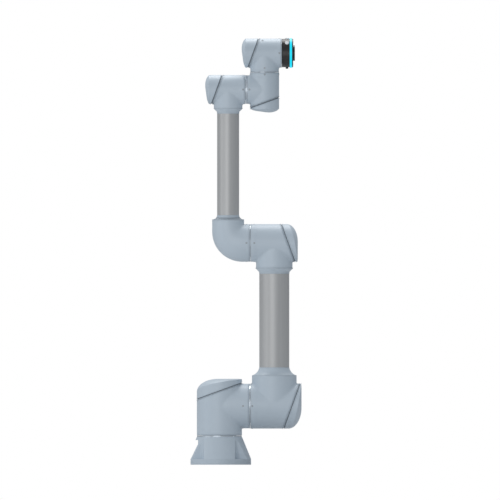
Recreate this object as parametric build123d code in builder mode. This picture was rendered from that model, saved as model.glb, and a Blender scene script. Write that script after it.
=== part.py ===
"""Six-axis collaborative robot arm, in millimetres, standing straight up on its base.

+Z is up and +X points from the base axis towards the upper arm. The origin lies where the base axis
meets the floor. Every joint is a sealed drive in a casting with a barrel on the joint axis and a branch
towards the next link. A domed cap closes the barrel behind the drive, along a tilted parting line.
"""

import os
from dataclasses import dataclass
from math import cos, radians, sin, sqrt

from build123d import *

os.makedirs("parts", exist_ok=True)

# Arm layout, between joint axes and joint planes
base_joint_height = 118.6
shoulder_reach = 119.5
shoulder_height = base_joint_height + shoulder_reach
upper_arm_length = 662.2
forearm_length = 622.8
upper_arm_offset = 222.8
forearm_offset = 35.4
arm_joint_reach = 96.5
wrist_joint_reach = 69.8
wrist_stub_length = 78.3

# Clearances
joint_gap = 0.5
running_clearance = 0.3
mesh_clearance = 0.5
seat_clearance = 0.1

# Parting line between a housing and its cap
parting_tilt = 20.0
rim_height = 2.8
rim_proud = 1.6
rim_bevel = 0.9
gasket_recess = 1.6
tee_step = 1.0

# Drive parts that are alike in every joint
shaft_wall = 3.0
cup_wall = 2.5
cup_floor = 9.0
rotor_rim = 8.0
rotor_web = 5.0
motor_gap = 8.0
winding_thickness = 14.0
bell_thickness = 4.0
post_height = 12.0
post_radius = 3.0
post_count = 3
board_thickness = 2.0
board_margin = 4.0
shaft_overrun = 8.0
rim_step = 0.8

# Tubes
upper_tube_radius = 60.9
forearm_tube_radius = 44.7
tube_wall = 4.0
spigot_length = 26.0
spigot_wall = 6.0

# Base casting
base_plate_radius = 128.5
base_plate_thickness = 23.1
base_top_radius = 92.2
base_rear_inset = 11.2
base_cavity_radius = 56.0
base_roof = 14.0
base_cable_hole = 30.0
pocket_depth = 64.7
pocket_corner = 14.0
bolt_inset = 18.5
bolt_hole_radius = 5.5
bolt_count = 4

# Rear of the base: sloped face under a hood, with a recess for the cable receptacle
hood_underside = 100.3
rear_slope_top = 84.0
rear_slope_top_reach = 86.9
rear_slope_inset = 12.0
recess_floor_reach = 78.0
recess_half_width = 45.0
recess_bottom = 31.0
recess_top = 78.0
recess_corner = 5.0
panel_thickness = 3.0
receptacle_radius = 15.0
receptacle_length = 11.0
receptacle_groove_depth = 3.0
receptacle_key_radius = 9.5
receptacle_groove_width = 3.0
receptacle_offset = 14.0
earth_stud_radius = 4.0
earth_stud_length = 9.0
earth_stud_offset = 27.0
cable_channel_radius = 14.0

# Swept bend that starts the forearm
bend_barrel_radius = 76.1
bend_neck_radius = 64.8
bend_outer_radius = 121.8
bend_inner_gap = 5.7
bend_wall = 6.5
bend_sections = 7
bend_lip_rise = 12.2
bend_lip_height = 1.6
bend_flare_height = 13.4
bend_throat_height = 3.6
bend_cable_hole = 30.0
bend_end_wall = 14.0

# Tool end
tool_collar_radius = 57.6
tool_collar_length = 32.0
tool_rim_radius = 48.0
light_ring_radius = 59.9
light_ring_length = 9.2
tool_disc_length = 4.6
tool_hub_radius = 38.0
tool_boss_radius = 31.5
tool_boss_length = 7.0
tool_pilot_radius = 15.75
tool_pilot_depth = 6.0
tool_bolt_circle_radius = 25.0
tool_bolt_count = 4
tool_tap_radius = 2.5
tool_tap_depth = 12.0
tool_dowel_radius = 3.0
tool_dowel_depth = 8.0
tool_edge_bevel = 1.2
control_height = 21.0
button_radius = 8.2
button_proud = 3.4
button_travel = 1.5
button_length = 12.0
button_crown = 1.6
freedrive_angle = 0.0
teach_angle = 45.0
connector_angle = 180.0
connector_base_radius = 7.4
connector_sleeve_radius = 4.9
connector_bore_radius = 3.2
connector_bore_depth = 3.5
connector_proud = 6.0
connector_seat_depth = 9.0


@dataclass
class DriveSize:
    """One size of joint drive and its casting."""

    radius: float
    wall: float
    passage: float
    shaft: float
    spline_ring: float
    bearing: float
    mesh: float
    motor: float
    cap_reach: float
    corner_depth: float
    corner_width: float
    corner_shift: float
    end_tilt: float
    crown: float
    gasket: float
    tee_fillet: float
    cable_hole: float
    end_wall: float


large = DriveSize(
    radius=91.5,
    wall=7.0,
    passage=66.0,
    shaft=22.0,
    spline_ring=16.0,
    bearing=24.0,
    mesh=24.0,
    motor=46.0,
    cap_reach=110.6,
    corner_depth=53.0,
    corner_width=85.0,
    corner_shift=32.0,
    end_tilt=0.0,
    crown=0.0,
    gasket=3.4,
    tee_fillet=5.0,
    cable_hole=34.0,
    end_wall=16.0,
)
medium = DriveSize(
    radius=76.4,
    wall=6.5,
    passage=54.0,
    shaft=19.0,
    spline_ring=13.0,
    bearing=20.0,
    mesh=20.0,
    motor=40.0,
    cap_reach=95.4,
    corner_depth=44.0,
    corner_width=71.0,
    corner_shift=27.0,
    end_tilt=0.0,
    crown=0.0,
    gasket=3.4,
    tee_fillet=6.0,
    cable_hole=28.0,
    end_wall=14.0,
)
small = DriveSize(
    radius=58.9,
    wall=5.5,
    passage=43.0,
    shaft=14.0,
    spline_ring=10.0,
    bearing=18.0,
    mesh=17.0,
    motor=32.0,
    cap_reach=93.4,
    corner_depth=32.0,
    corner_width=52.0,
    corner_shift=12.0,
    end_tilt=7.5,
    crown=14.0,
    gasket=4.6,
    tee_fillet=6.5,
    cable_hole=22.0,
    end_wall=12.0,
)


@dataclass
class Joint:
    """A drive in its casting. The frame's Z runs along the barrel to the cap, its X along the branch."""

    name: str
    frame: Plane
    size: DriveSize
    reach: float
    parting: float
    rim_length: float
    rim_radius: float

    def __post_init__(self):
        size = self.size
        self.foot = joint_gap / 2 - self.reach
        self.rim_top = -self.reach - joint_gap / 2
        self.rim_foot = self.rim_top - self.rim_length
        self.seat = self.foot + size.bearing
        self.mesh_top = self.seat + size.mesh
        self.bore = size.radius - size.wall
        self.cup = self.bore - size.spline_ring - mesh_clearance
        self.motor_foot = self.mesh_top + motor_gap
        self.motor_top = self.motor_foot + size.motor
        self.bell_top = self.motor_top + bell_thickness
        self.board_foot = self.bell_top + post_height
        self.board_top = self.board_foot + board_thickness
        self.shaft_top = self.board_top + shaft_overrun
        self.axis = Axis(self.frame.origin, self.frame.z_dir)

    def level(self, height):
        """Plane across the barrel."""
        return self.frame.offset(height)

    def parting_plane(self, shift):
        """Tilted plane between housing and cap, shifted along its own normal."""
        return tilted(self.frame.offset(self.parting), -parting_tilt).offset(shift)

    def branch_plane(self):
        """Plane across the branch, with its normal along the branch."""
        return Plane(self.frame.origin, x_dir=self.frame.y_dir, z_dir=self.frame.x_dir)


def tilted(plane, angle):
    """Plane turned about its own Y, so that a positive angle leans the normal towards its X."""
    return Plane(plane.location * Rotation(0, angle, 0))


def section(plane):
    """Half section beside a plane's normal: local X is the radius, local Y the height along the normal."""
    return Plane(plane.origin, x_dir=plane.x_dir, z_dir=-plane.y_dir)


def spin(plane):
    """Axis of a turned piece that stands on a plane."""
    return Axis(plane.origin, plane.z_dir)


def outline_face(plane, outline):
    """Closed (radius, height) outline, ready to be turned about the plane's normal."""
    with BuildSketch(section(plane)) as profile:
        with BuildLine():
            Polyline(*outline, close=True)
        make_face()
    return profile.sketch


def ring_outline(inner, outer, low, high):
    """Rectangular outline of a plain ring, or of a disc when inner is 0."""
    return [(inner, low), (outer, low), (outer, high), (inner, high)]


# Joints, from the base to the tool

forward, upward = (1, 0, 0), (0, 0, 1)
backward, downward = (-1, 0, 0), (0, 0, -1)
elbow_height = shoulder_height + upper_arm_length
wrist_1_height = elbow_height + forearm_length
wrist_2_offset = forearm_offset + wrist_joint_reach + wrist_stub_length
wrist_3_height = wrist_1_height + wrist_joint_reach + wrist_stub_length
tool_joint_offset = wrist_2_offset + wrist_joint_reach

base_joint = Joint(
    name="base_joint",
    frame=Plane((0, 0, shoulder_height), x_dir=forward, z_dir=upward),
    size=large,
    reach=shoulder_reach,
    parting=61.5,
    rim_length=6.0,
    rim_radius=large.radius - rim_step,
)
shoulder_joint = Joint(
    name="shoulder_joint",
    frame=Plane((upper_arm_offset, 0, shoulder_height), x_dir=upward, z_dir=forward),
    size=large,
    reach=arm_joint_reach,
    parting=72.0,
    rim_length=5.0,
    rim_radius=large.radius - rim_step,
)
elbow_joint = Joint(
    name="elbow_joint",
    frame=Plane((upper_arm_offset, 0, elbow_height), x_dir=downward, z_dir=forward),
    size=medium,
    reach=arm_joint_reach,
    parting=56.8,
    rim_length=2.5,
    rim_radius=medium.radius - rim_step,
)
wrist_1_joint = Joint(
    name="wrist_1",
    frame=Plane((forearm_offset, 0, wrist_1_height), x_dir=downward, z_dir=backward),
    size=small,
    reach=wrist_joint_reach,
    parting=46.2,
    rim_length=8.6,
    rim_radius=small.radius - rim_step,
)
wrist_2_joint = Joint(
    name="wrist_2",
    frame=Plane((wrist_2_offset, 0, wrist_1_height), x_dir=backward, z_dir=downward),
    size=small,
    reach=wrist_joint_reach,
    parting=53.5,
    rim_length=2.5,
    rim_radius=small.radius - rim_step,
)
wrist_3_joint = Joint(
    name="wrist_3",
    frame=Plane((wrist_2_offset, 0, wrist_3_height), x_dir=downward, z_dir=backward),
    size=small,
    reach=wrist_joint_reach,
    parting=46.2,
    rim_length=6.0,
    rim_radius=tool_rim_radius,
)
joints = [base_joint, shoulder_joint, elbow_joint, wrist_1_joint, wrist_2_joint, wrist_3_joint]


def keep(part, label):
    """Name a finished piece and write it."""
    part.label = label
    export_step(part, f"parts/{label}.step")


# Caps and their gaskets


def domed_barrel(joint, inset):
    """Barrel that ends in the cap's dome, rounded deeply on the long side and not on the short one."""
    size = joint.size
    edge = size.radius + size.corner_shift - inset
    corner_foot = size.cap_reach - size.corner_depth
    crown_frame = Plane(joint.frame.location * Pos(-size.crown, 0, size.cap_reach))
    crown_frame = tilted(crown_frame, size.end_tilt)
    dome_frame = Plane(crown_frame.location * Pos(size.crown + size.corner_shift, 0, -size.cap_reach))
    with BuildSketch(section(dome_frame)) as dome:
        with BuildLine():
            side = Line((edge, -size.radius), (edge, corner_foot))
            corner = EllipticalCenterArc(
                (edge + inset - size.corner_width, corner_foot),
                size.corner_width - inset,
                size.corner_depth - inset,
                start_angle=0,
                arc_size=90,
            )
            Polyline(corner @ 1, (0, size.cap_reach - inset), (0, -size.radius), side @ 0)
        make_face()
    with BuildPart() as dome_solid:
        revolve(dome.sketch, axis=spin(dome_frame))
    with BuildPart() as barrel:
        with BuildSketch(joint.level(0)):
            Circle(size.radius - inset)
        extrude(amount=size.cap_reach + size.radius)
        add(dome_solid.part, mode=Mode.INTERSECT)
    return barrel.part


def rim_band(joint, low, high):
    """Proud bevelled disc between two planes parallel to the parting plane. The bores open it to a rim."""
    with BuildPart() as band:
        with BuildSketch(joint.level(0)):
            Circle(joint.size.radius + rim_proud)
        extrude(amount=joint.parting + joint.size.radius)
        split(bisect_by=joint.parting_plane(low), keep=Keep.TOP)
        split(bisect_by=joint.parting_plane(high), keep=Keep.BOTTOM)
        chamfer(band.edges().filter_by(GeomType.ELLIPSE), length=rim_bevel)
    return band.part


def make_cap(joint):
    """Domed cap over the back of a drive."""
    half_gasket = joint.size.gasket / 2
    skin = domed_barrel(joint, 0)
    space = domed_barrel(joint, joint.size.wall)
    rim = rim_band(joint, half_gasket, half_gasket + rim_height)
    with BuildPart() as cap:
        add(skin)
        split(bisect_by=joint.parting_plane(half_gasket), keep=Keep.TOP)
        add(rim)
        add(space, mode=Mode.SUBTRACT)
    return cap.part


def make_gasket(joint):
    """Seal ring in the tilted parting line."""
    half_gasket = joint.size.gasket / 2
    with BuildPart() as gasket:
        with BuildSketch(joint.level(0)):
            Circle(joint.size.radius - gasket_recess)
            Circle(joint.bore, mode=Mode.SUBTRACT)
        extrude(amount=joint.parting + joint.size.radius)
        split(bisect_by=joint.parting_plane(-half_gasket), keep=Keep.TOP)
        split(bisect_by=joint.parting_plane(half_gasket), keep=Keep.BOTTOM)
    return gasket.part


# Drive parts


def make_circular_spline(joint):
    """Outer ring of the strain wave gear, pressed into the housing on the bearing shoulder."""
    inner = joint.cup + mesh_clearance
    outline = ring_outline(inner, joint.bore - seat_clearance, joint.seat, joint.mesh_top)
    with BuildPart() as spline:
        revolve(outline_face(joint.frame, outline), axis=joint.axis)
    return spline.part


def make_output_flange(joint):
    """Rim that shows in the joint, its bearing boss and the flexible spline's thin cup, in one piece."""
    hole = joint.size.shaft + running_clearance
    floor = joint.foot + cup_floor
    outline = [
        (hole, joint.rim_foot),
        (joint.rim_radius, joint.rim_foot),
        (joint.rim_radius, joint.rim_top),
        (joint.cup, joint.rim_top),
        (joint.cup, joint.mesh_top),
        (joint.cup - cup_wall, joint.mesh_top),
        (joint.cup - cup_wall, floor),
        (hole, floor),
    ]
    with BuildPart() as flange:
        revolve(outline_face(joint.frame, outline), axis=joint.axis)
    return flange.part


def make_rotor(joint):
    """Hollow shaft with the wave generator in the cup and the magnet drum in the stator."""
    shaft = joint.size.shaft
    generator = joint.cup - cup_wall - mesh_clearance
    drum = joint.bore - winding_thickness - mesh_clearance
    drum_top = joint.motor_top - running_clearance
    outline = [
        (shaft - shaft_wall, joint.foot),
        (shaft, joint.foot),
        (shaft, joint.seat),
        (generator, joint.seat),
        (generator, joint.mesh_top),
        (generator - rotor_rim, joint.mesh_top),
        (generator - rotor_rim, joint.seat + rotor_web),
        (shaft, joint.seat + rotor_web),
        (shaft, joint.motor_foot),
        (drum, joint.motor_foot),
        (drum, drum_top),
        (drum - rotor_rim, drum_top),
        (drum - rotor_rim, joint.motor_foot + rotor_web),
        (shaft, joint.motor_foot + rotor_web),
        (shaft, joint.shaft_top),
        (shaft - shaft_wall, joint.shaft_top),
    ]
    with BuildPart() as rotor:
        revolve(outline_face(joint.frame, outline), axis=joint.axis)
    return rotor.part


def make_stator(joint):
    """Winding ring with an end bell round the shaft and posts for the drive board."""
    outer = joint.bore - seat_clearance
    hole = joint.size.shaft + running_clearance
    post_circle = (joint.bore + joint.size.shaft) / 2
    outline = [
        (joint.bore - winding_thickness, joint.motor_foot),
        (outer, joint.motor_foot),
        (outer, joint.bell_top),
        (hole, joint.bell_top),
        (hole, joint.motor_top),
        (joint.bore - winding_thickness, joint.motor_top),
    ]
    with BuildPart() as stator:
        revolve(outline_face(joint.frame, outline), axis=joint.axis)
        with BuildSketch(joint.level(joint.bell_top)):
            with PolarLocations(post_circle, post_count):
                Circle(post_radius)
        extrude(amount=post_height)
    return stator.part


def make_drive_board(joint):
    """Ring-shaped circuit board round the hollow shaft."""
    with BuildPart() as board:
        with BuildSketch(joint.level(joint.board_foot)):
            Circle(joint.bore - board_margin)
            Circle(joint.size.shaft + board_margin, mode=Mode.SUBTRACT)
        extrude(amount=board_thickness)
    return board.part


for joint in joints:
    keep(make_cap(joint), f"{joint.name}_cap")
    keep(make_gasket(joint), f"{joint.name}_cap_gasket")
    keep(make_circular_spline(joint), f"{joint.name}_circular_spline")
    keep(make_output_flange(joint), f"{joint.name}_output_flange")
    keep(make_rotor(joint), f"{joint.name}_rotor")
    keep(make_stator(joint), f"{joint.name}_stator")
    keep(make_drive_board(joint), f"{joint.name}_drive_board")


# Castings with a barrel and a branch


@dataclass
class Collar:
    """Collar where a casting meets a tube, in radii and heights along the tube's axis."""

    neck: float
    lip: float
    lip_foot: float
    lip_top: float
    throat: float
    throat_foot: float
    tube_foot: float
    hollow: float
    tube: float

    def spigot(self):
        """Outside radius of the stub inside the tube."""
        return self.tube - tube_wall - seat_clearance


shoulder_collar = Collar(
    neck=large.radius - tee_step,
    lip=large.radius - tee_step,
    lip_foot=118.0,
    lip_top=124.8,
    throat=61.6,
    throat_foot=155.0,
    tube_foot=157.0,
    hollow=6.0,
    tube=upper_tube_radius,
)
elbow_collar = Collar(
    neck=73.9,
    lip=76.5,
    lip_foot=99.5,
    lip_top=102.5,
    throat=61.7,
    throat_foot=117.8,
    tube_foot=124.8,
    hollow=0.0,
    tube=upper_tube_radius,
)
wrist_collar = Collar(
    neck=small.radius - tee_step,
    lip=59.2,
    lip_foot=75.0,
    lip_top=77.0,
    throat=45.5,
    throat_foot=90.3,
    tube_foot=97.6,
    hollow=0.0,
    tube=forearm_tube_radius,
)


def collar_face(plane, collar, foot):
    """Half section of neck, lip, flare and spigot, from a foot height upward."""
    spigot_top = collar.tube_foot + spigot_length
    flare_foot = (collar.lip, collar.lip_top)
    flare_top = (collar.throat, collar.throat_foot)
    with BuildSketch(section(plane)) as profile:
        with BuildLine():
            Polyline(
                (0, foot),
                (collar.neck, foot),
                (collar.neck, collar.lip_foot),
                flare_foot,
            )
            if collar.hollow:
                SagittaArc(flare_foot, flare_top, collar.hollow)
            else:
                Line(flare_foot, flare_top)
            Polyline(
                flare_top,
                (collar.throat, collar.tube_foot),
                (collar.spigot(), collar.tube_foot),
                (collar.spigot(), spigot_top),
                (0, spigot_top),
                (0, foot),
            )
        make_face()
    return profile.sketch


def collar_passage(collar, wide, foot):
    """Outline of the hollow through a collar: wide in the neck, narrow in the spigot."""
    narrow = collar.spigot() - spigot_wall
    spigot_top = collar.tube_foot + spigot_length
    return [
        (0, foot),
        (wide, foot),
        (wide, collar.lip_foot),
        (narrow, collar.throat_foot),
        (narrow, spigot_top),
        (0, spigot_top),
    ]


def stub_passage(size, length):
    """Outline of the hollow through a stub: the end wall keeps only a hole for the cables."""
    inner_end = length - size.end_wall
    return [
        (0, 0),
        (size.passage, 0),
        (size.passage, inner_end),
        (size.cable_hole, inner_end),
        (size.cable_hole, length),
        (0, length),
    ]


def make_housing(joint, branch, passage):
    """Casting with a barrel on the joint axis and a branch, hollow for the drive and the cables."""
    size = joint.size
    half_gasket = size.gasket / 2
    rim = rim_band(joint, -half_gasket - rim_height, -half_gasket)
    lip = joint.cup + running_clearance
    barrel_bore = [
        (0, joint.foot),
        (lip, joint.foot),
        (lip, joint.seat),
        (joint.bore, joint.seat),
        (joint.bore, size.cap_reach),
        (0, size.cap_reach),
    ]
    with BuildPart() as housing:
        with BuildSketch(joint.level(joint.foot)):
            Circle(size.radius)
        extrude(amount=size.cap_reach + size.radius - joint.foot)
        revolve(branch, axis=spin(joint.branch_plane()))
        fillet(housing.edges().filter_by(GeomType.BSPLINE), radius=size.tee_fillet)
        split(bisect_by=joint.parting_plane(-half_gasket), keep=Keep.BOTTOM)
        add(rim)
        revolve(outline_face(joint.frame, barrel_bore), axis=joint.axis, mode=Mode.SUBTRACT)
        revolve(
            outline_face(joint.branch_plane(), passage),
            axis=spin(joint.branch_plane()),
            mode=Mode.SUBTRACT,
        )
    return housing.part


def make_stub_housing(joint, length):
    """Housing whose branch is a short stub that ends at the next joint's flange."""
    outline = ring_outline(0, joint.size.radius - tee_step, 0, length)
    branch = outline_face(joint.branch_plane(), outline)
    return make_housing(joint, branch, stub_passage(joint.size, length))


def make_collar_housing(joint, collar):
    """Housing whose branch is a collar that holds a tube."""
    branch = collar_face(joint.branch_plane(), collar, 0)
    return make_housing(joint, branch, collar_passage(collar, joint.size.passage, 0))


def stub_end(length, next_joint):
    """Length of a stub up to the rim of the next joint's flange."""
    return length - joint_gap / 2 - next_joint.rim_length


shoulder_stub = stub_end(upper_arm_offset - arm_joint_reach, shoulder_joint)
keep(make_stub_housing(base_joint, shoulder_stub), "shoulder_housing")
keep(make_collar_housing(shoulder_joint, shoulder_collar), "upper_arm_housing")
keep(make_collar_housing(elbow_joint, elbow_collar), "elbow_housing")
keep(make_collar_housing(wrist_1_joint, wrist_collar), "wrist_1_housing")
keep(make_stub_housing(wrist_2_joint, stub_end(wrist_stub_length, wrist_1_joint)), "wrist_2_housing")
keep(make_stub_housing(wrist_3_joint, stub_end(wrist_stub_length, wrist_2_joint)), "wrist_3_housing")


# Swept bend: elliptical sections turn about a pivot just outside the inner corner

bend_pivot_x = forearm_offset + bend_neck_radius + bend_inner_gap
bend_pivot_z = elbow_height + bend_barrel_radius + bend_inner_gap
bend_end_x = upper_arm_offset - arm_joint_reach - joint_gap / 2 - elbow_joint.rim_length
bend_neck_foot = bend_pivot_z - elbow_height
bend_lip_foot = bend_neck_foot + bend_lip_rise
bend_lip_top = bend_lip_foot + bend_lip_height
bend_throat_foot = bend_lip_top + bend_flare_height


def bend_reach(angle, inset):
    """Distance from the pivot to the outer contour: a wall, a rounded corner and a floor."""
    across, down = cos(radians(angle)), sin(radians(angle))
    radius = bend_outer_radius - inset
    centre_x = forearm_offset - bend_neck_radius + bend_outer_radius
    centre_z = elbow_height - bend_barrel_radius + bend_outer_radius
    offset_x, offset_z = bend_pivot_x - centre_x, bend_pivot_z - centre_z
    along = offset_x * across + offset_z * down
    to_corner = along + sqrt(along**2 - offset_x**2 - offset_z**2 + radius**2)
    if to_corner * down < offset_z:
        return (offset_x + radius) / across
    if to_corner * across < offset_x:
        return (offset_z + radius) / down
    return to_corner


def bend_ellipse(angle, inset):
    """Plane and half axes of the bend's section at an angle from the horizontal."""
    across, down = cos(radians(angle)), sin(radians(angle))
    near = bend_inner_gap / max(across, down) + inset
    far = bend_reach(angle, inset)
    middle = (near + far) / 2
    blend = sin(radians(angle)) ** 2
    depth = bend_neck_radius + (bend_barrel_radius - bend_neck_radius) * blend - inset
    origin = (bend_pivot_x - middle * across, 0, bend_pivot_z - middle * down)
    plane = Plane(origin, x_dir=(-across, 0, -down), z_dir=(down, 0, -across))
    return plane, (far - near) / 2, depth


bend_collar = Collar(
    neck=bend_neck_radius,
    lip=bend_neck_radius,
    lip_foot=bend_lip_foot,
    lip_top=bend_lip_top,
    throat=45.4,
    throat_foot=bend_throat_foot,
    tube_foot=bend_throat_foot + bend_throat_height,
    hollow=4.0,
    tube=forearm_tube_radius,
)
bend_angles = [90.0 * step / (bend_sections - 1) for step in range(bend_sections)]
bend_neck_plane = Plane((forearm_offset, 0, elbow_height), x_dir=forward, z_dir=upward)
bend_barrel_plane = Plane((bend_pivot_x, 0, elbow_height), x_dir=upward, z_dir=forward)
bend_barrel_length = bend_end_x - bend_pivot_x
bend_barrel_floor = bend_barrel_length - bend_end_wall
bend_barrel_bore = [
    (0, 0),
    (bend_barrel_radius - bend_wall, 0),
    (bend_barrel_radius - bend_wall, bend_barrel_floor),
    (bend_cable_hole, bend_barrel_floor),
    (bend_cable_hole, bend_barrel_length),
    (0, bend_barrel_length),
]

with BuildPart() as forearm_elbow:
    for angle in bend_angles:
        plane, long_half, depth_half = bend_ellipse(angle, 0)
        with BuildSketch(plane):
            Ellipse(long_half, depth_half)
    loft()
    with BuildSketch(bend_barrel_plane):
        Circle(bend_barrel_radius)
    extrude(amount=bend_barrel_length)
    revolve(collar_face(bend_neck_plane, bend_collar, bend_neck_foot), axis=spin(bend_neck_plane))
    for angle in bend_angles:
        plane, long_half, depth_half = bend_ellipse(angle, bend_wall)
        with BuildSketch(plane):
            Ellipse(long_half, depth_half)
    loft(mode=Mode.SUBTRACT)
    revolve(
        outline_face(bend_barrel_plane, bend_barrel_bore),
        axis=spin(bend_barrel_plane),
        mode=Mode.SUBTRACT,
    )
    revolve(
        outline_face(
            bend_neck_plane,
            collar_passage(bend_collar, bend_neck_radius - bend_wall, bend_neck_foot),
        ),
        axis=spin(bend_neck_plane),
        mode=Mode.SUBTRACT,
    )
keep(forearm_elbow.part, "forearm_elbow")


# Arm tubes


def make_tube(offset, radius, low, high):
    """Straight tube between the collars of two castings."""
    with BuildPart() as tube:
        with BuildSketch(Plane((offset, 0, low))):
            Circle(radius)
            Circle(radius - tube_wall, mode=Mode.SUBTRACT)
        extrude(amount=high - low)
    return tube.part


upper_tube_foot = shoulder_height + shoulder_collar.tube_foot
upper_tube_top = elbow_height - elbow_collar.tube_foot
keep(make_tube(upper_arm_offset, upper_tube_radius, upper_tube_foot, upper_tube_top), "upper_arm_tube")
forearm_tube_foot = elbow_height + bend_collar.tube_foot
forearm_tube_top = wrist_1_height - wrist_collar.tube_foot
keep(make_tube(forearm_offset, forearm_tube_radius, forearm_tube_foot, forearm_tube_top), "forearm_tube")


# Base

base_top = base_joint_height - joint_gap / 2 - base_joint.rim_length
base_rear_flat = base_plate_radius - base_rear_inset
rear_slope_foot_reach = base_plate_radius - rear_slope_inset
pocket_edge = base_plate_radius - pocket_depth
bolt_circle_radius = base_plate_radius - bolt_inset
base_outline = [
    (0, 0),
    (base_plate_radius, 0),
    (base_plate_radius, base_plate_thickness),
    (base_top_radius, base_top),
    (0, base_top),
]
base_cavity = [
    (0, 0),
    (base_cavity_radius, 0),
    (base_cavity_radius, base_top - base_roof),
    (base_cable_hole, base_top - base_roof),
    (base_cable_hole, base_top),
    (0, base_top),
]
rear_limit = 2 * base_plate_radius
panel_plane = Plane(
    (-recess_floor_reach, 0, (recess_bottom + recess_top) / 2),
    x_dir=(0, -1, 0),
    z_dir=backward,
)

with BuildPart() as base_casting:
    revolve(outline_face(Plane.XY, base_outline), axis=Axis.Z)
    with BuildSketch(Plane.XY.offset(base_plate_thickness)) as pockets:
        with GridLocations(2 * base_plate_radius, 2 * base_plate_radius, 2, 2):
            Rectangle(2 * (base_plate_radius - pocket_edge), 2 * (base_plate_radius - pocket_edge))
        inner_corners = pockets.vertices().sort_by_distance((0, 0, base_plate_thickness))[:4]
        fillet(inner_corners, radius=pocket_corner)
    extrude(amount=base_top - base_plate_thickness, mode=Mode.SUBTRACT)
    with BuildSketch(Plane.XZ):
        with BuildLine():
            Polyline(
                (-rear_limit, hood_underside),
                (-rear_slope_top_reach, hood_underside),
                (-rear_slope_top_reach, rear_slope_top),
                (-rear_slope_foot_reach, base_plate_thickness),
                (-rear_limit, base_plate_thickness),
                close=True,
            )
        make_face()
        with Locations((-base_rear_flat, 0)):
            Rectangle(rear_limit, base_plate_thickness, align=(Align.MAX, Align.MIN))
    extrude(amount=rear_limit, both=True, mode=Mode.SUBTRACT)
    with BuildSketch(panel_plane):
        RectangleRounded(2 * recess_half_width, recess_top - recess_bottom, recess_corner)
    extrude(amount=rear_limit, mode=Mode.SUBTRACT)
    revolve(outline_face(Plane.XY, base_cavity), axis=Axis.Z, mode=Mode.SUBTRACT)
    with BuildSketch(panel_plane):
        with Locations((-receptacle_offset, 0)):
            Circle(cable_channel_radius)
    extrude(amount=-recess_floor_reach, mode=Mode.SUBTRACT)
    with BuildSketch(Plane.XY):
        with PolarLocations(bolt_circle_radius, bolt_count, start_angle=45):
            Circle(bolt_hole_radius)
    extrude(amount=base_plate_thickness, mode=Mode.SUBTRACT)
keep(base_casting.part, "base_casting")

with BuildPart() as base_connector_panel:
    with BuildSketch(panel_plane):
        RectangleRounded(
            2 * (recess_half_width - seat_clearance),
            recess_top - recess_bottom - 2 * seat_clearance,
            recess_corner - seat_clearance,
        )
    extrude(amount=panel_thickness)
    with BuildSketch(panel_plane.offset(panel_thickness)):
        with Locations((earth_stud_offset, 0)):
            Circle(earth_stud_radius)
    extrude(amount=earth_stud_length)
    with BuildSketch(panel_plane.offset(panel_thickness)):
        with Locations((-receptacle_offset, 0)):
            Circle(receptacle_radius)
    extrude(amount=receptacle_length)
    with BuildSketch(panel_plane.offset(panel_thickness + receptacle_length)):
        with Locations((-receptacle_offset, 0)):
            Circle(receptacle_key_radius + receptacle_groove_width)
            Circle(receptacle_key_radius, mode=Mode.SUBTRACT)
    extrude(amount=-receptacle_groove_depth, mode=Mode.SUBTRACT)
keep(base_connector_panel.part, "base_connector_panel")


# Tool end, in heights from the last joint plane along the tool axis

tool_plane = Plane((tool_joint_offset, 0, wrist_3_height), x_dir=upward, z_dir=forward)
collar_foot = joint_gap / 2
hub_foot = collar_foot + wrist_3_joint.rim_length
collar_top = collar_foot + tool_collar_length
ring_top = collar_top + light_ring_length
disc_top = ring_top + tool_disc_length
tool_face = disc_top + tool_boss_length
hub_seat = tool_hub_radius + seat_clearance


def radial_plane(angle, distance):
    """Plane whose normal leaves the tool axis at an angle from the top, towards the front."""
    across = Plane(tool_plane.location * Pos(0, 0, control_height) * Rotation(0, 0, angle))
    origin = across.from_local_coords((distance, 0, 0))
    return Plane(origin, x_dir=tool_plane.z_dir, z_dir=across.x_dir)


button_pocket_floor = tool_collar_radius + button_proud - button_length - button_travel - joint_gap
connector_seat = tool_collar_radius - connector_seat_depth
collar_outline = [
    (tool_rim_radius + seat_clearance, collar_foot),
    (tool_collar_radius - tool_edge_bevel, collar_foot),
    (tool_collar_radius, collar_foot + tool_edge_bevel),
    (tool_collar_radius, collar_top),
    (hub_seat, collar_top),
    (hub_seat, hub_foot),
    (tool_rim_radius + seat_clearance, hub_foot),
]
with BuildPart() as tool_collar:
    revolve(outline_face(tool_plane, collar_outline), axis=spin(tool_plane))
    for angle in (freedrive_angle, teach_angle):
        with BuildSketch(radial_plane(angle, button_pocket_floor)):
            Circle(button_radius + running_clearance)
        extrude(amount=tool_collar_radius, mode=Mode.SUBTRACT)
    with BuildSketch(radial_plane(connector_angle, connector_seat)):
        Circle(connector_base_radius + seat_clearance)
    extrude(amount=tool_collar_radius, mode=Mode.SUBTRACT)
keep(tool_collar.part, "tool_collar")

with BuildPart() as tool_light_ring:
    ring = ring_outline(hub_seat, light_ring_radius, collar_top, ring_top)
    revolve(outline_face(tool_plane, ring), axis=spin(tool_plane))
    rims = tool_light_ring.edges().filter_by(GeomType.CIRCLE).group_by(SortBy.RADIUS)[-1]
    fillet(rims, radius=tool_edge_bevel)
keep(tool_light_ring.part, "tool_light_ring")

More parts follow.
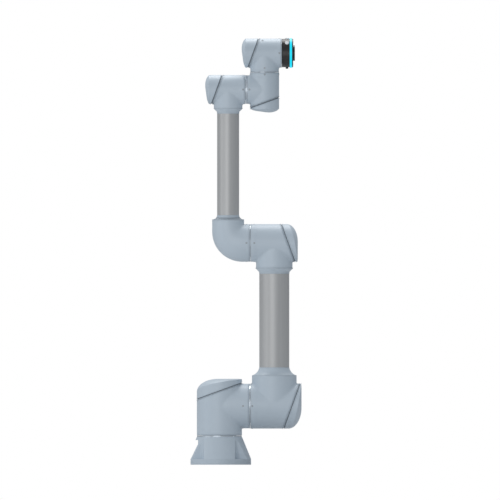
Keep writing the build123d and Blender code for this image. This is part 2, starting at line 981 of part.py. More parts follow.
flange_outline = [
    (0, hub_foot),
    (tool_hub_radius, hub_foot),
    (tool_hub_radius, ring_top),
    (tool_collar_radius, ring_top),
    (tool_collar_radius, disc_top - tool_edge_bevel),
    (tool_collar_radius - tool_edge_bevel, disc_top),
    (tool_boss_radius, disc_top),
    (tool_boss_radius, tool_face),
    (tool_pilot_radius, tool_face),
    (tool_pilot_radius, tool_face - tool_pilot_depth),
    (0, tool_face - tool_pilot_depth),
]
with BuildPart() as tool_flange:
    revolve(outline_face(tool_plane, flange_outline), axis=spin(tool_plane))
    with BuildSketch(tool_plane.offset(tool_face)):
        with PolarLocations(tool_bolt_circle_radius, tool_bolt_count, start_angle=45):
            Circle(tool_tap_radius)
    extrude(amount=-tool_tap_depth, mode=Mode.SUBTRACT)
    with BuildSketch(tool_plane.offset(tool_face)):
        with Locations((tool_bolt_circle_radius, 0)):
            Circle(tool_dowel_radius)
    extrude(amount=-tool_dowel_depth, mode=Mode.SUBTRACT)
keep(tool_flange.part, "tool_flange")


def make_button(angle):
    """Round push button with a crowned top, in a radial pocket of the collar."""
    foot = tool_collar_radius + button_proud - button_length
    with BuildPart() as button:
        with BuildSketch(radial_plane(angle, foot)):
            Circle(button_radius)
        extrude(amount=button_length)
        top = button.faces().sort_by(Axis((0, 0, 0), radial_plane(angle, 0).z_dir))[-1]
        fillet(top.edges(), radius=button_crown)
    return button.part


keep(make_button(freedrive_angle), "freedrive_button")
keep(make_button(teach_angle), "teach_button")

with BuildPart() as tool_connector:
    with BuildSketch(radial_plane(connector_angle, connector_seat)):
        Circle(connector_base_radius)
    extrude(amount=connector_seat_depth)
    with BuildSketch(radial_plane(connector_angle, tool_collar_radius)):
        Circle(connector_sleeve_radius)
    extrude(amount=connector_proud)
    with BuildSketch(radial_plane(connector_angle, tool_collar_radius + connector_proud)):
        Circle(connector_bore_radius)
    extrude(amount=-connector_bore_depth, mode=Mode.SUBTRACT)
keep(tool_connector.part, "tool_connector")
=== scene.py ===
from math import cos, pi, radians, sin

import bmesh
import bpy
from mathutils import Matrix, Vector


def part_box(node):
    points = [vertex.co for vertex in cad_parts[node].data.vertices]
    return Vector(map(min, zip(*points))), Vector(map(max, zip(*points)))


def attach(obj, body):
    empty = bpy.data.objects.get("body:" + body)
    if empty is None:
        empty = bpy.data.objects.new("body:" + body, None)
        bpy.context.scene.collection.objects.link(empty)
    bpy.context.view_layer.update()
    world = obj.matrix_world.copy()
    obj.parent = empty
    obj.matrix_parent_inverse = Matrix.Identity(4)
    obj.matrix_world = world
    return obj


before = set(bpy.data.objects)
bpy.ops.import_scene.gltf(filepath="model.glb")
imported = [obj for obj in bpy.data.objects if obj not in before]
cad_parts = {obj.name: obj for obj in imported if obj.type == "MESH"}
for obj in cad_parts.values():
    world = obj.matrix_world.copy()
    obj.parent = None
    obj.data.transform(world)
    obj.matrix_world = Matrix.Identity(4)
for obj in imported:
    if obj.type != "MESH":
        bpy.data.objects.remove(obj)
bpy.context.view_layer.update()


# Studio: a parallel camera straight in front of the arm, soft light from above, the left and the front, a
# pale round floor, and a surround that looks plain white and fills the shadows with a faint blue.

camera = bpy.data.objects.new("camera", bpy.data.cameras.new("camera"))
bpy.context.collection.objects.link(camera)
camera.data.type = "ORTHO"
camera.data.ortho_scale = 2.03
camera.location = (0.1242, -6.0, 0.8717)
camera.rotation_euler = (pi / 2, 0.0, 0.0)
bpy.context.scene.camera = camera
bpy.context.scene.view_settings.view_transform = "Standard"


def soft_box(name, place, target, width, height, power):
    """A rectangular studio light that faces a point."""
    light = bpy.data.lights.new(name, "AREA")
    light.shape = "RECTANGLE"
    light.size = width
    light.size_y = height
    light.energy = power
    lamp = bpy.data.objects.new(name, light)
    bpy.context.collection.objects.link(lamp)
    lamp.location = place
    lamp.rotation_euler = (Vector(target) - Vector(place)).to_track_quat("-Z", "Y").to_euler()


arm_middle = (0.1, 0.0, 0.9)
soft_box("top_light", (0.0, 1.4, 4.0), arm_middle, width=3.0, height=2.0, power=80.0)
soft_box("left_light", (-3.6, -1.6, 1.6), arm_middle, width=2.6, height=3.4, power=24.0)
soft_box("front_light", (-1.2, -5.0, 1.4), arm_middle, width=3.0, height=3.0, power=52.0)


def add_node(tree, kind, values=None, **settings):
    """A node with some of its inputs filled in."""
    node = tree.nodes.new(kind)
    for name, value in settings.items():
        setattr(node, name, value)
    for name, value in (values or {}).items():
        node.inputs[name].default_value = value
    return node


surround = bpy.data.worlds.new("surround")
bpy.context.scene.world = surround
surround.use_nodes = True
sky_tree = surround.node_tree
sky_tree.nodes.clear()
room_glow = add_node(sky_tree, "ShaderNodeBackground", {"Color": (0.9, 0.95, 1.0, 1.0), "Strength": 0.42})
backdrop = add_node(sky_tree, "ShaderNodeBackground", {"Color": (1.0, 1.0, 1.0, 1.0), "Strength": 1.0})
ray = add_node(sky_tree, "ShaderNodeLightPath")
either = add_node(sky_tree, "ShaderNodeMixShader")
sky_out = add_node(sky_tree, "ShaderNodeOutputWorld")
sky_tree.links.new(ray.outputs["Is Camera Ray"], either.inputs[0])
sky_tree.links.new(room_glow.outputs[0], either.inputs[1])
sky_tree.links.new(backdrop.outputs[0], either.inputs[2])
sky_tree.links.new(either.outputs[0], sky_out.inputs["Surface"])


def new_mesh(name, build):
    """An object at the origin whose mesh the given function fills."""
    grid = bmesh.new()
    build(grid)
    mesh = bpy.data.meshes.new(name)
    grid.to_mesh(mesh)
    grid.free()
    made = bpy.data.objects.new(name, mesh)
    bpy.context.collection.objects.link(made)
    return made


def new_material(name, colour, roughness, metallic=0.0):
    """A material with its main shader set, and the piece's own coordinates to build on."""
    material = bpy.data.materials.new(name)
    material.use_nodes = True
    tree = material.node_tree
    shader = tree.nodes["Principled BSDF"]
    shader.inputs["Base Color"].default_value = (*colour, 1.0)
    shader.inputs["Roughness"].default_value = roughness
    shader.inputs["Metallic"].default_value = metallic
    place = add_node(tree, "ShaderNodeTexCoord").outputs["Object"]
    return material, tree, shader, place


def vary(tree, shader, place, scale, low, high, stretch=(1.0, 1.0, 1.0)):
    """Colour that drifts between two shades in slow clouds or, when stretched, in streaks."""
    mapping = add_node(tree, "ShaderNodeMapping", {"Scale": stretch})
    clouds = add_node(tree, "ShaderNodeTexNoise", {"Scale": scale, "Detail": 3.0})
    ramp = add_node(tree, "ShaderNodeValToRGB")
    ramp.color_ramp.elements[0].position = 0.3
    ramp.color_ramp.elements[0].color = (*low, 1.0)
    ramp.color_ramp.elements[1].position = 0.7
    ramp.color_ramp.elements[1].color = (*high, 1.0)
    tree.links.new(place, mapping.inputs["Vector"])
    tree.links.new(mapping.outputs["Vector"], clouds.inputs["Vector"])
    tree.links.new(clouds.outputs["Fac"], ramp.inputs["Fac"])
    tree.links.new(ramp.outputs["Color"], shader.inputs["Base Color"])
    return clouds.outputs["Fac"]


floor_radius = 3.5


def floor_disc(grid):
    bmesh.ops.create_circle(grid, cap_ends=True, segments=128, radius=floor_radius)


floor_piece = new_mesh("floor", floor_disc)
floor_paint, tree, shader, place = new_material("floor_paint", (0.62, 0.63, 0.64), roughness=0.8)
vary(tree, shader, place, scale=1.2, low=(0.61, 0.62, 0.63), high=(0.63, 0.64, 0.65))
floor_piece.data.materials.append(floor_paint)


# Castings: the base, the shoulder, the housings, the swept elbow and the caps are cast aluminium, all in
# the same satin blue-grey powder paint, with faint orange peel.


def vary_gloss(tree, shader, fac, low, high):
    """Roughness that follows a pattern between two values."""
    spread = add_node(tree, "ShaderNodeMapRange", {"To Min": low, "To Max": high})
    tree.links.new(fac, spread.inputs["Value"])
    tree.links.new(spread.outputs["Result"], shader.inputs["Roughness"])


def roughen(tree, shader, place, scale, depth, stretch=(1.0, 1.0, 1.0), rounding=0.0):
    """Fine relief, depth in metres, over corners whose shading is rounded by the given radius."""
    mapping = add_node(tree, "ShaderNodeMapping", {"Scale": stretch})
    grain = add_node(tree, "ShaderNodeTexNoise", {"Scale": scale, "Detail": 2.0})
    bump = add_node(tree, "ShaderNodeBump", {"Strength": 0.6, "Distance": depth})
    tree.links.new(place, mapping.inputs["Vector"])
    tree.links.new(mapping.outputs["Vector"], grain.inputs["Vector"])
    tree.links.new(grain.outputs["Fac"], bump.inputs["Height"])
    if rounding:
        soft_corner = add_node(tree, "ShaderNodeBevel", {"Radius": rounding}, samples=8)
        tree.links.new(soft_corner.outputs["Normal"], bump.inputs["Normal"])
    tree.links.new(bump.outputs["Normal"], shader.inputs["Normal"])


inner_corner = 0.016
cap_corner = 0.001


def cast_paint(name, rounding):
    """Satin powder paint whose shading rounds the casting's corners by the given radius."""
    paint, tree, shader, place = new_material(name, (0.56, 0.64, 0.715), roughness=0.42)
    drift = vary(tree, shader, place, scale=6.0, low=(0.55, 0.63, 0.705), high=(0.57, 0.65, 0.725))
    vary_gloss(tree, shader, drift, low=0.36, high=0.5)
    roughen(tree, shader, place, scale=900.0, depth=0.00006, rounding=rounding)
    return paint


housing_paint = cast_paint("housing_paint", inner_corner)
cap_paint = cast_paint("cap_paint", cap_corner)


def dress(material, *names):
    """Gives modelled parts their finish."""
    for name in names:
        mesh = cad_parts[name].data
        mesh.materials.clear()
        mesh.materials.append(material)


joint_names = ("base_joint", "shoulder_joint", "elbow_joint", "wrist_1", "wrist_2", "wrist_3")
dress(housing_paint, "shoulder_housing", "upper_arm_housing", "elbow_housing", "forearm_elbow")
dress(housing_paint, "wrist_1_housing", "wrist_2_housing", "wrist_3_housing")
dress(cap_paint, "base_casting", *[f"{joint}_cap" for joint in joint_names])


# Cap gaskets: grey moulded rubber rings in the tilted parting lines. Their dark grey is partly the rubber's
# tone and partly painted shade of the groove they sit in. The caps press them against the housings, and
# only their edge shows.

# Dark grey: rubber tone plus painted shade of the parting groove, in the base colour and in both mottle
# shades.
gasket_shade_rubber, tree, shader, place = new_material("gasket_rubber_painted_shade", (0.2, 0.23, 0.26), roughness=0.7)
mottle = vary(tree, shader, place, scale=60.0, low=(0.19, 0.22, 0.25), high=(0.22, 0.25, 0.28))
vary_gloss(tree, shader, mottle, low=0.65, high=0.85)
roughen(tree, shader, place, scale=1500.0, depth=0.00005)
dress(gasket_shade_rubber, *[f"{joint}_cap_gasket" for joint in joint_names])


# Output flanges: turned steel rims that show as a thin bright line in each joint. Each is fixed to the
# casting across the joint from its drive.

turned, tree, shader, place = new_material("turned_rim", (0.56, 0.62, 0.68), roughness=0.25, metallic=0.5)
marks = vary(tree, shader, place, scale=40.0, low=(0.52, 0.58, 0.64), high=(0.6, 0.66, 0.72))
vary_gloss(tree, shader, marks, low=0.2, high=0.32)
roughen(tree, shader, place, scale=700.0, depth=0.00002)
dress(turned, *[f"{joint}_output_flange" for joint in joint_names])


# Drive parts inside the joints: ground steel gears and rotors, copper windings, and green circuit boards.
# The closed castings hide them.

ground, tree, shader, place = new_material("ground_steel", (0.5, 0.5, 0.51), roughness=0.3, metallic=1.0)
marks = vary(tree, shader, place, scale=50.0, low=(0.45, 0.45, 0.46), high=(0.55, 0.55, 0.56))
vary_gloss(tree, shader, marks, low=0.22, high=0.4)
dress(ground, *[f"{joint}_circular_spline" for joint in joint_names])
dress(ground, *[f"{joint}_rotor" for joint in joint_names])

winding, tree, shader, place = new_material(
    "winding_copper", (0.55, 0.25, 0.12), roughness=0.4, metallic=0.8
)
strands = vary(tree, shader, place, scale=300.0, low=(0.42, 0.17, 0.07), high=(0.66, 0.32, 0.16))
vary_gloss(tree, shader, strands, low=0.3, high=0.55)
dress(winding, *[f"{joint}_stator" for joint in joint_names])

board, tree, shader, place = new_material("circuit_board", (0.03, 0.16, 0.08), roughness=0.4)
tracks = vary(tree, shader, place, scale=220.0, low=(0.02, 0.12, 0.06), high=(0.05, 0.22, 0.11))
vary_gloss(tree, shader, tracks, low=0.3, high=0.5)
dress(board, *[f"{joint}_drive_board" for joint in joint_names])


# Arm tubes: drawn aluminium, anodised a plain grey, with faint lines along the tube from the die. Each
# is pushed over a spigot at either end.

anodised, tree, shader, place = new_material(
    "anodised_tube", (0.5, 0.5, 0.5), roughness=0.42, metallic=0.35
)
along_tube = (1.0, 1.0, 0.02)
lines = vary(
    tree, shader, place, scale=90.0, low=(0.49, 0.49, 0.488), high=(0.53, 0.53, 0.528), stretch=along_tube
)
vary_gloss(tree, shader, lines, low=0.38, high=0.5)
roughen(tree, shader, place, scale=500.0, depth=0.00003, stretch=along_tube)
dress(anodised, "upper_arm_tube", "forearm_tube")


# Tool end: collar, flange, boss and connector of black anodised aluminium, white moulded buttons, and a
# plastic ring that glows blue-green.

black, tree, shader, place = new_material("black_anodised", (0.022, 0.02, 0.019), roughness=0.3)
bloom = vary(tree, shader, place, scale=70.0, low=(0.019, 0.017, 0.016), high=(0.026, 0.024, 0.023))
vary_gloss(tree, shader, bloom, low=0.25, high=0.38)
roughen(tree, shader, place, scale=1200.0, depth=0.00003)
dress(black, "tool_collar", "tool_flange", "tool_connector")

button_white, tree, shader, place = new_material("button_white", (0.86, 0.88, 0.9), roughness=0.3)
haze = vary(tree, shader, place, scale=90.0, low=(0.84, 0.86, 0.88), high=(0.88, 0.9, 0.92))
vary_gloss(tree, shader, haze, low=0.25, high=0.36)
dress(button_white, "freedrive_button", "teach_button")

glow, tree, shader, place = new_material("ring_glow", (0.0, 0.05, 0.06), roughness=0.4)
vary(tree, shader, place, scale=40.0, low=(0.0, 0.045, 0.055), high=(0.0, 0.055, 0.065))
shader.inputs["Emission Color"].default_value = (0.0, 0.72, 0.95, 1.0)
shader.inputs["Emission Strength"].default_value = 1.0
dress(glow, "tool_light_ring")


# Connector panel: a dark grey satin metal plate with its receptacle and earth stud, set into a recess in
# the base's rear.

panel_metal, tree, shader, place = new_material(
    "panel_metal", (0.2, 0.205, 0.21), roughness=0.4, metallic=0.5
)
satin = vary(tree, shader, place, scale=60.0, low=(0.18, 0.185, 0.19), high=(0.22, 0.225, 0.23))
vary_gloss(tree, shader, satin, low=0.34, high=0.48)
dress(panel_metal, "base_connector_panel")


# Joint screws: rings of four small steel socket screws beside the joints, a little proud of the paint. They
# hold the housings to the output flange and to the strain wave gear.

bolt_steel, tree, shader, place = new_material(
    "bolt_steel", (0.26, 0.27, 0.28), roughness=0.35, metallic=0.8
)
wear = vary(tree, shader, place, scale=400.0, low=(0.2, 0.21, 0.22), high=(0.32, 0.33, 0.34))
vary_gloss(tree, shader, wear, low=0.28, high=0.45)


def turn(grid, outline, sides=24, closed=False):
    """A shape about Z from (radius, height, corners) rings: 0 corners for round, 6 for a hexagon."""
    rings = []
    for radius, height, corners in outline:
        ring = []
        for step in range(sides):
            angle = 2 * pi * step / sides
            reach = radius
            if corners:
                half = pi / corners
                reach = radius * cos(half) / cos(angle % (2 * half) - half)
            ring.append(grid.verts.new((reach * cos(angle), reach * sin(angle), height)))
        rings.append(ring)
    following = rings[1:] + rings[:1] if closed else rings[1:]
    for lower, upper in zip(rings, following):
        for step in range(sides):
            after = (step + 1) % sides
            grid.faces.new((lower[step], lower[after], upper[after], upper[step]))
    if not closed:
        grid.faces.new(list(reversed(rings[0])))
        grid.faces.new(rings[-1])
    bmesh.ops.recalc_face_normals(grid, faces=grid.faces)


def standing(origin, z_dir, x_dir):
    """Placement with its Z and X along the given directions."""
    z_axis, x_axis = Vector(z_dir).normalized(), Vector(x_dir).normalized()
    turned_to = Matrix((x_axis, z_axis.cross(x_axis), z_axis)).transposed().to_4x4()
    return Matrix.Translation(origin) @ turned_to


def ring_tree():
    """Geometry nodes that set a part round a ring, facing outwards or along the ring's axis."""
    tree = bpy.data.node_groups.new("part_ring", "GeometryNodeTree")
    sockets = {}
    for name, kind in (
        ("Part", "NodeSocketObject"),
        ("Count", "NodeSocketInt"),
        ("Ring Radius", "NodeSocketFloat"),
        ("Outward", "NodeSocketFloat"),
        ("Along Axis", "NodeSocketFloat"),
        ("Stretch", "NodeSocketVector"),
        ("Finish", "NodeSocketMaterial"),
    ):
        sockets[name] = tree.interface.new_socket(name=name, in_out="INPUT", socket_type=kind).identifier
    tree.interface.new_socket(name="Geometry", in_out="OUTPUT", socket_type="NodeSocketGeometry")
    given = tree.nodes.new("NodeGroupInput")
    circle = tree.nodes.new("GeometryNodeMeshCircle")
    spot = tree.nodes.new("GeometryNodeInputPosition")
    scaled = add_node(tree, "ShaderNodeVectorMath", operation="MULTIPLY")
    placed = tree.nodes.new("GeometryNodeSetPosition")
    outward = add_node(tree, "ShaderNodeVectorMath", operation="SCALE")
    upward = tree.nodes.new("ShaderNodeCombineXYZ")
    facing = add_node(tree, "ShaderNodeVectorMath", operation="ADD")
    aim = add_node(tree, "FunctionNodeAlignRotationToVector", axis="Z")
    part = tree.nodes.new("GeometryNodeObjectInfo")
    copies = tree.nodes.new("GeometryNodeInstanceOnPoints")
    real = tree.nodes.new("GeometryNodeRealizeInstances")
    finished = tree.nodes.new("GeometryNodeSetMaterial")
    result = tree.nodes.new("NodeGroupOutput")
    for source, target in (
        (given.outputs["Count"], circle.inputs["Vertices"]),
        (given.outputs["Ring Radius"], circle.inputs["Radius"]),
        (spot.outputs["Position"], scaled.inputs[0]),
        (given.outputs["Stretch"], scaled.inputs[1]),
        (circle.outputs["Mesh"], placed.inputs["Geometry"]),
        (scaled.outputs[0], placed.inputs["Position"]),
        (spot.outputs["Position"], outward.inputs[0]),
        (given.outputs["Outward"], outward.inputs["Scale"]),
        (given.outputs["Along Axis"], upward.inputs["Z"]),
        (outward.outputs[0], facing.inputs[0]),
        (upward.outputs[0], facing.inputs[1]),
        (facing.outputs[0], aim.inputs["Vector"]),
        (given.outputs["Part"], part.inputs["Object"]),
        (placed.outputs["Geometry"], copies.inputs["Points"]),
        (part.outputs["Geometry"], copies.inputs["Instance"]),
        (aim.outputs["Rotation"], copies.inputs["Rotation"]),
        (copies.outputs["Instances"], real.inputs["Geometry"]),
        (real.outputs["Geometry"], finished.inputs["Geometry"]),
        (given.outputs["Finish"], finished.inputs["Material"]),
        (finished.outputs["Geometry"], result.inputs["Geometry"]),
    ):
        tree.links.new(source, target)
    return tree, sockets


part_ring, ring_sockets = ring_tree()


def ring_of(
    name, part, finish, placement, body, count, radius, axial=False, stretch=(1.0, 1.0, 1.0)
):
    """A ring of like parts, facing outwards or axially, as one plain mesh that rides on a body."""
    settings = {
        "Part": part,
        "Count": count,
        "Ring Radius": radius,
        "Outward": 0.0 if axial else 1.0,
        "Along Axis": 1.0 if axial else 0.0,
        "Stretch": stretch,
        "Finish": finish,
    }
    maker = bpy.data.objects.new(name + "_maker", bpy.data.meshes.new(name + "_maker"))
    bpy.context.collection.objects.link(maker)
    modifier = maker.modifiers.new("part_ring", "NODES")
    modifier.node_group = part_ring
    for label, value in settings.items():
        modifier[ring_sockets[label]] = value
    bpy.context.view_layer.update()
    mesh = bpy.data.meshes.new_from_object(maker.evaluated_get(bpy.context.evaluated_depsgraph_get()))
    bpy.data.objects.remove(maker)
    mesh.name = name
    mesh.transform(placement)
    ring = bpy.data.objects.new(name, mesh)
    bpy.context.collection.objects.link(ring)
    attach(ring, body)


screw_head_radius = 0.0035
screw_proud = 0.0006
screw_sunk = 0.001
screw_socket = 0.0019


def screw_head(grid):
    turn(
        grid,
        (
            (screw_head_radius, -screw_sunk, 0),
            (screw_head_radius, screw_proud * 0.5, 0),
            (screw_head_radius * 0.9, screw_proud, 0),
            (screw_socket, screw_proud, 6),
            (screw_socket, -screw_sunk * 0.8, 6),
        ),
    )


screw_part = new_mesh("screw_part", screw_head)


def axis_point(joint, along, end, distance):
    """Point on a joint's axis, at a distance from one end of its output flange."""
    low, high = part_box(f"{joint}_output_flange")
    point = [(a + b) / 2 for a, b in zip(low, high)]
    point[along] = (low, high)[end][along] + distance
    return Vector(point)


left_right, up_down = 0, 2
low_end, high_end = 0, 1
# Each row: name, body, joint, the joint's axis, one end of its flange, distance from that end, ring radius.
screw_rings = (
    ("shoulder_screws", "shoulder", "shoulder_joint", left_right, low_end, -0.02525, 0.0905),
    ("upper_arm_screws", "upper_arm", "shoulder_joint", left_right, low_end, 0.01255, 0.0915),
    ("forearm_elbow_screws", "forearm", "elbow_joint", left_right, low_end, -0.01355, 0.0761),
    ("elbow_housing_screws", "upper_arm", "elbow_joint", left_right, low_end, 0.01815, 0.0764),
    ("wrist_1_screws", "forearm", "wrist_1", left_right, high_end, -0.01785, 0.0589),
    ("wrist_2_stub_screws", "wrist_2", "wrist_1", left_right, high_end, 0.00775, 0.0579),
    ("wrist_2_screws", "wrist_2", "wrist_2", up_down, high_end, -0.01105, 0.0589),
    ("wrist_3_stub_screws", "wrist_3", "wrist_2", up_down, high_end, 0.01415, 0.0579),
    ("wrist_3_screws", "wrist_3", "wrist_3", left_right, high_end, -0.01595, 0.0589),
)
for name, body, joint, along, end, distance, ring_radius in screw_rings:
    axis = (1, 0, 0) if along == left_right else (0, 0, 1)
    spot = standing(axis_point(joint, along, end, distance), axis, (0, -1, 0))
    ring_of(name, screw_part, bolt_steel, spot, body, count=4, radius=ring_radius)


# Vent plug of wrist 3: a small grey plastic plug that lets the sealed housing breathe. It is screwed into
# the top of the barrel, turned a little to the front.

vent_plastic, tree, shader, place = new_material("vent_plastic", (0.28, 0.32, 0.36), roughness=0.5)
grain = vary(tree, shader, place, scale=500.0, low=(0.25, 0.29, 0.33), high=(0.31, 0.35, 0.39))
vary_gloss(tree, shader, grain, low=0.42, high=0.6)
vent_lean = radians(29.7)
vent_radius = 0.0042
vent_proud = 0.0009
vent_back = 0.0849
wrist_barrel_radius = 0.0589


def vent_plug(grid):
    turn(
        grid,
        (
            (vent_radius, -vent_proud, 0),
            (vent_radius, vent_proud * 0.6, 0),
            (vent_radius * 0.86, vent_proud, 0),
            (vent_radius * 0.5, vent_proud, 6),
            (vent_radius * 0.5, -vent_proud * 0.4, 6),
        ),
    )
    vent_out = Vector((0, -sin(vent_lean), cos(vent_lean)))
    foot = axis_point("wrist_3", left_right, high_end, -vent_back) + vent_out * wrist_barrel_radius
    bmesh.ops.transform(grid, matrix=standing(foot, vent_out, (1, 0, 0)), verts=grid.verts)


plug = new_mesh("vent_plug", vent_plug)
plug.data.materials.append(vent_plastic)
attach(plug, "wrist_3")


# Sensor pad on the tool collar: a small raised diamond of black moulded plastic with a sunk middle. It is
# bonded to the collar near the connector.

pad_plastic, tree, shader, place = new_material("pad_plastic", (0.012, 0.012, 0.013), roughness=0.32)
grain = vary(tree, shader, place, scale=700.0, low=(0.01, 0.01, 0.011), high=(0.016, 0.016, 0.017))
vary_gloss(tree, shader, grain, low=0.26, high=0.4)
pad_lean = radians(150.0)
pad_reach = 0.0065
pad_proud = 0.0006
pad_ahead = 0.01405
collar_radius = 0.0576


def sensor_pad(grid):
    turn(
        grid,
        (
            (pad_reach, -pad_proud, 4),
            (pad_reach, pad_proud * 0.5, 4),
            (pad_reach * 0.86, pad_proud, 4),
            (pad_reach * 0.62, pad_proud, 4),
            (pad_reach * 0.56, pad_proud * 0.6, 4),
        ),
        sides=16,
    )
    pad_out = Vector((0, -sin(pad_lean), cos(pad_lean)))
    foot = axis_point("wrist_3", left_right, high_end, pad_ahead) + pad_out * collar_radius
    bmesh.ops.transform(grid, matrix=standing(foot, pad_out, (1, 0, 0)), verts=grid.verts)


pad = new_mesh("sensor_pad", sensor_pad)
pad.data.materials.append(pad_plastic)
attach(pad, "tool_end")


# Tool connector: gold contact pins in the bore, and a black screw thread round the sleeve for the plug's
# nut.

contact_gold, tree, shader, place = new_material(
    "contact_gold", (0.75, 0.55, 0.2), roughness=0.25, metallic=1.0
)
polish = vary(tree, shader, place, scale=900.0, low=(0.7, 0.5, 0.17), high=(0.8, 0.6, 0.25))
vary_gloss(tree, shader, polish, low=0.2, high=0.34)
socket_low, socket_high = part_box("tool_connector")
socket_mouth = Vector(((socket_low[0] + socket_high[0]) / 2, 0, socket_low[2]))
pin_radius = 0.00035
pin_length = 0.0026
pin_sunk = 0.0002
pin_ring = 0.0019
bore_depth = 0.0035


def contact_pin(grid):
    turn(
        grid,
        (
            (pin_radius, -pin_sunk, 0),
            (pin_radius, pin_length * 0.9, 0),
            (pin_radius * 0.5, pin_length, 0),
        ),
        sides=8,
    )


pin_part = new_mesh("pin_part", contact_pin)
bore_floor = standing(socket_mouth + Vector((0, 0, bore_depth)), (0, 0, -1), (1, 0, 0))
ring_of(
    "tool_contact_pins",
    pin_part,
    contact_gold,
    bore_floor,
    "tool_end",
    count=7,
    radius=pin_ring,
    axial=True,
)

thread_inside = 0.0046
thread_root = 0.0049
thread_crest = 0.0052
thread_start = 0.0006
thread_ridges = 4
thread_pitch = 0.001


def sleeve_thread(grid):
    """Thread on the sleeve, as a stack of pointed ridges."""
    thread_end = thread_start + thread_ridges * thread_pitch
    outline = [(thread_inside, thread_start, 0)]
    for ridge in range(thread_ridges):
        outline.append((thread_root, thread_start + ridge * thread_pitch, 0))
        outline.append((thread_crest, thread_start + (ridge + 0.5) * thread_pitch, 0))
    outline.append((thread_root, thread_end, 0))
    outline.append((thread_inside, thread_end, 0))
    turn(grid, outline, sides=32, closed=True)
    bmesh.ops.transform(grid, matrix=Matrix.Translation(socket_mouth), verts=grid.verts)


thread = new_mesh("tool_connector_thread", sleeve_thread)
thread.data.materials.append(black)
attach(thread, "tool_end")


# Tool face: bright steel thread inserts in the four tapped holes, and six low socket screws in a ring on
# the disc round the boss.

insert_steel, tree, shader, place = new_material(
    "insert_steel", (0.55, 0.55, 0.54), roughness=0.28, metallic=1.0
)
wear = vary(tree, shader, place, scale=600.0, low=(0.48, 0.48, 0.47), high=(0.6, 0.6, 0.59))
vary_gloss(tree, shader, wear, low=0.22, high=0.38)
flange_low, flange_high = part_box("tool_flange")
tool_axis = Vector((flange_high[0], 0, (flange_low[2] + flange_high[2]) / 2))
insert_ring = 0.025
insert_outside = 0.0028
insert_root = 0.0024
insert_crest = 0.002
insert_lip = 0.00015
insert_sunk = 0.0001
insert_length = 0.006
insert_pitch = 0.001


def thread_insert(grid):
    """Sleeve with pointed ridges inside and a thin lip on the face."""
    outline = [(insert_outside, -insert_length, 0)]
    outline.append((insert_outside, insert_lip, 0))
    outline.append((insert_root, insert_lip, 0))
    for ridge in range(round(insert_length / insert_pitch)):
        outline.append((insert_root, -ridge * insert_pitch, 0))
        outline.append((insert_crest, -(ridge + 0.5) * insert_pitch, 0))
    outline.append((insert_root, -insert_length, 0))
    turn(grid, outline, sides=24, closed=True)


insert_part = new_mesh("insert_part", thread_insert)
diagonal = cos(pi / 4)
ring_of(
    "tool_thread_inserts",
    insert_part,
    insert_steel,
    standing(tool_axis - Vector((insert_sunk, 0, 0)), (1, 0, 0), (0, diagonal, diagonal)),
    "tool_end",
    count=4,
    radius=insert_ring,
    axial=True,
)

disc_setback = 0.007
disc_screw_ring = 0.044
disc_screw_radius = 0.0032
disc_screw_proud = 0.0004
disc_screw_sunk = 0.0008
disc_screw_floor = 0.0007


def disc_screw(grid):
    turn(
        grid,
        (
            (disc_screw_radius, -disc_screw_sunk, 0),
            (disc_screw_radius, disc_screw_proud * 0.5, 0),
            (disc_screw_radius * 0.92, disc_screw_proud, 0),
            (disc_screw_radius * 0.5, disc_screw_proud, 6),
            (disc_screw_radius * 0.5, -disc_screw_floor, 6),
        ),
    )


disc_screw_part = new_mesh("disc_screw_part", disc_screw)
ring_of(
    "tool_disc_screws",
    disc_screw_part,
    bolt_steel,
    standing(tool_axis - Vector((disc_setback, 0, 0)), (1, 0, 0), (0, 0, 1)),
    "tool_end",
    count=6,
    radius=disc_screw_ring,
    axial=True,
)


# Fittings of the connector panel: gold contacts in the round cable receptacle, grip ribs round its locking
# ring, a steel nut and washer on the earth stud, and four screws: above, below, left and right.

panel_low, panel_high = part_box("base_connector_panel")
panel_back = Vector((panel_low[0], 0, (panel_low[2] + panel_high[2]) / 2))
receptacle_across = 0.014
receptacle_place = standing(panel_back + Vector((0, receptacle_across, 0)), (-1, 0, 0), (0, -1, 0))
contact_ring = 0.0062
contact_rim = 0.0011
contact_proud = 0.0003
contact_sunk = 0.0004


def contact_socket(grid):
    turn(
        grid,
        (
            (contact_rim, -contact_sunk, 0),
            (contact_rim, contact_proud, 0),
            (contact_rim * 0.6, contact_proud, 0),
            (contact_rim * 0.6, -contact_proud, 0),
        ),
        sides=12,
    )


contact_part = new_mesh("contact_part", contact_socket)
for name, count, radius in (
    ("outer_contacts", 10, contact_ring),
    ("inner_contacts", 4, contact_ring * 0.45),
):
    ring_of(
        "receptacle_" + name,
        contact_part,
        contact_gold,
        receptacle_place,
        "base",
        count=count,
        radius=radius,
        axial=True,
    )

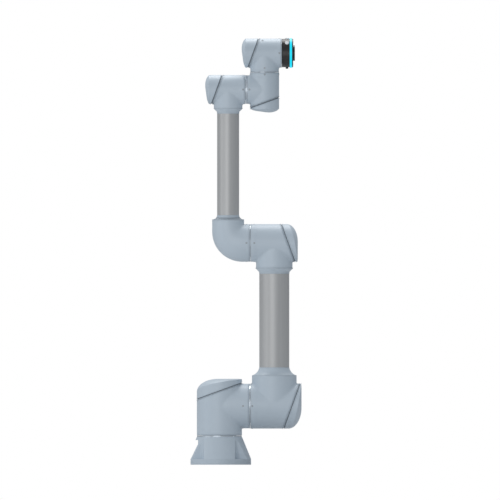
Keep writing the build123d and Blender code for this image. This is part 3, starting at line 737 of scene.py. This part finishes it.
rib_length = 0.0085
rib_half_width = 0.0007
rib_setback = 0.001
receptacle_radius = 0.015


def grip_rib(grid):
    """Round rib that lies along the receptacle's side, half sunk in it."""
    turn(grid, ((rib_half_width, -rib_length / 2, 0), (rib_half_width, rib_length / 2, 0)), sides=10)
    bmesh.ops.rotate(grid, matrix=Matrix.Rotation(pi / 2, 3, "Y"), verts=grid.verts)


rib_part = new_mesh("rib_part", grip_rib)
ring_of(
    "receptacle_grip_ribs",
    rib_part,
    pad_plastic,
    receptacle_place @ Matrix.Translation((0, 0, -rib_length / 2 - rib_setback)),
    "base",
    count=36,
    radius=receptacle_radius,
)

stud_setback = 0.009
stud_across = -0.027
stud_foot = panel_back + Vector((stud_setback, stud_across, 0))
nut_height = 0.0045
nut_corner = 0.0068
nut_top_corner = 0.0058
nut_hole = 0.0042
washer_height = 0.0012
washer_radius = 0.0078
washer_seat = 0.0066
nut_lift = 0.0002


def earth_nut(grid):
    turn(
        grid,
        (
            (washer_radius, 0.0, 0),
            (washer_radius, washer_height, 0),
            (washer_seat, washer_height, 0),
            (nut_corner, washer_height + nut_lift, 6),
            (nut_corner, washer_height + nut_height * 0.85, 6),
            (nut_top_corner, washer_height + nut_height, 6),
            (nut_hole, washer_height + nut_height, 0),
            (nut_hole, 0.0, 0),
        ),
        sides=36,
        closed=True,
    )
    bmesh.ops.transform(grid, matrix=standing(stud_foot, (-1, 0, 0), (0, -1, 0)), verts=grid.verts)


nut = new_mesh("earth_nut", earth_nut)
nut.data.materials.append(insert_steel)
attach(nut, "base")

panel_screw_setback = 0.011
panel_screw_ring = 0.018
panel_screw_stretch = (2.15, 1.0, 1.0)
ring_of(
    "panel_screws",
    screw_part,
    bolt_steel,
    standing(panel_back + Vector((panel_screw_setback, 0, 0)), (-1, 0, 0), (0, -1, 0)),
    "base",
    count=4,
    radius=panel_screw_ring,
    axial=True,
    stretch=panel_screw_stretch,
)

for spare in (screw_part, pin_part, insert_part, disc_screw_part, contact_part, rib_part):
    bpy.data.objects.remove(spare)
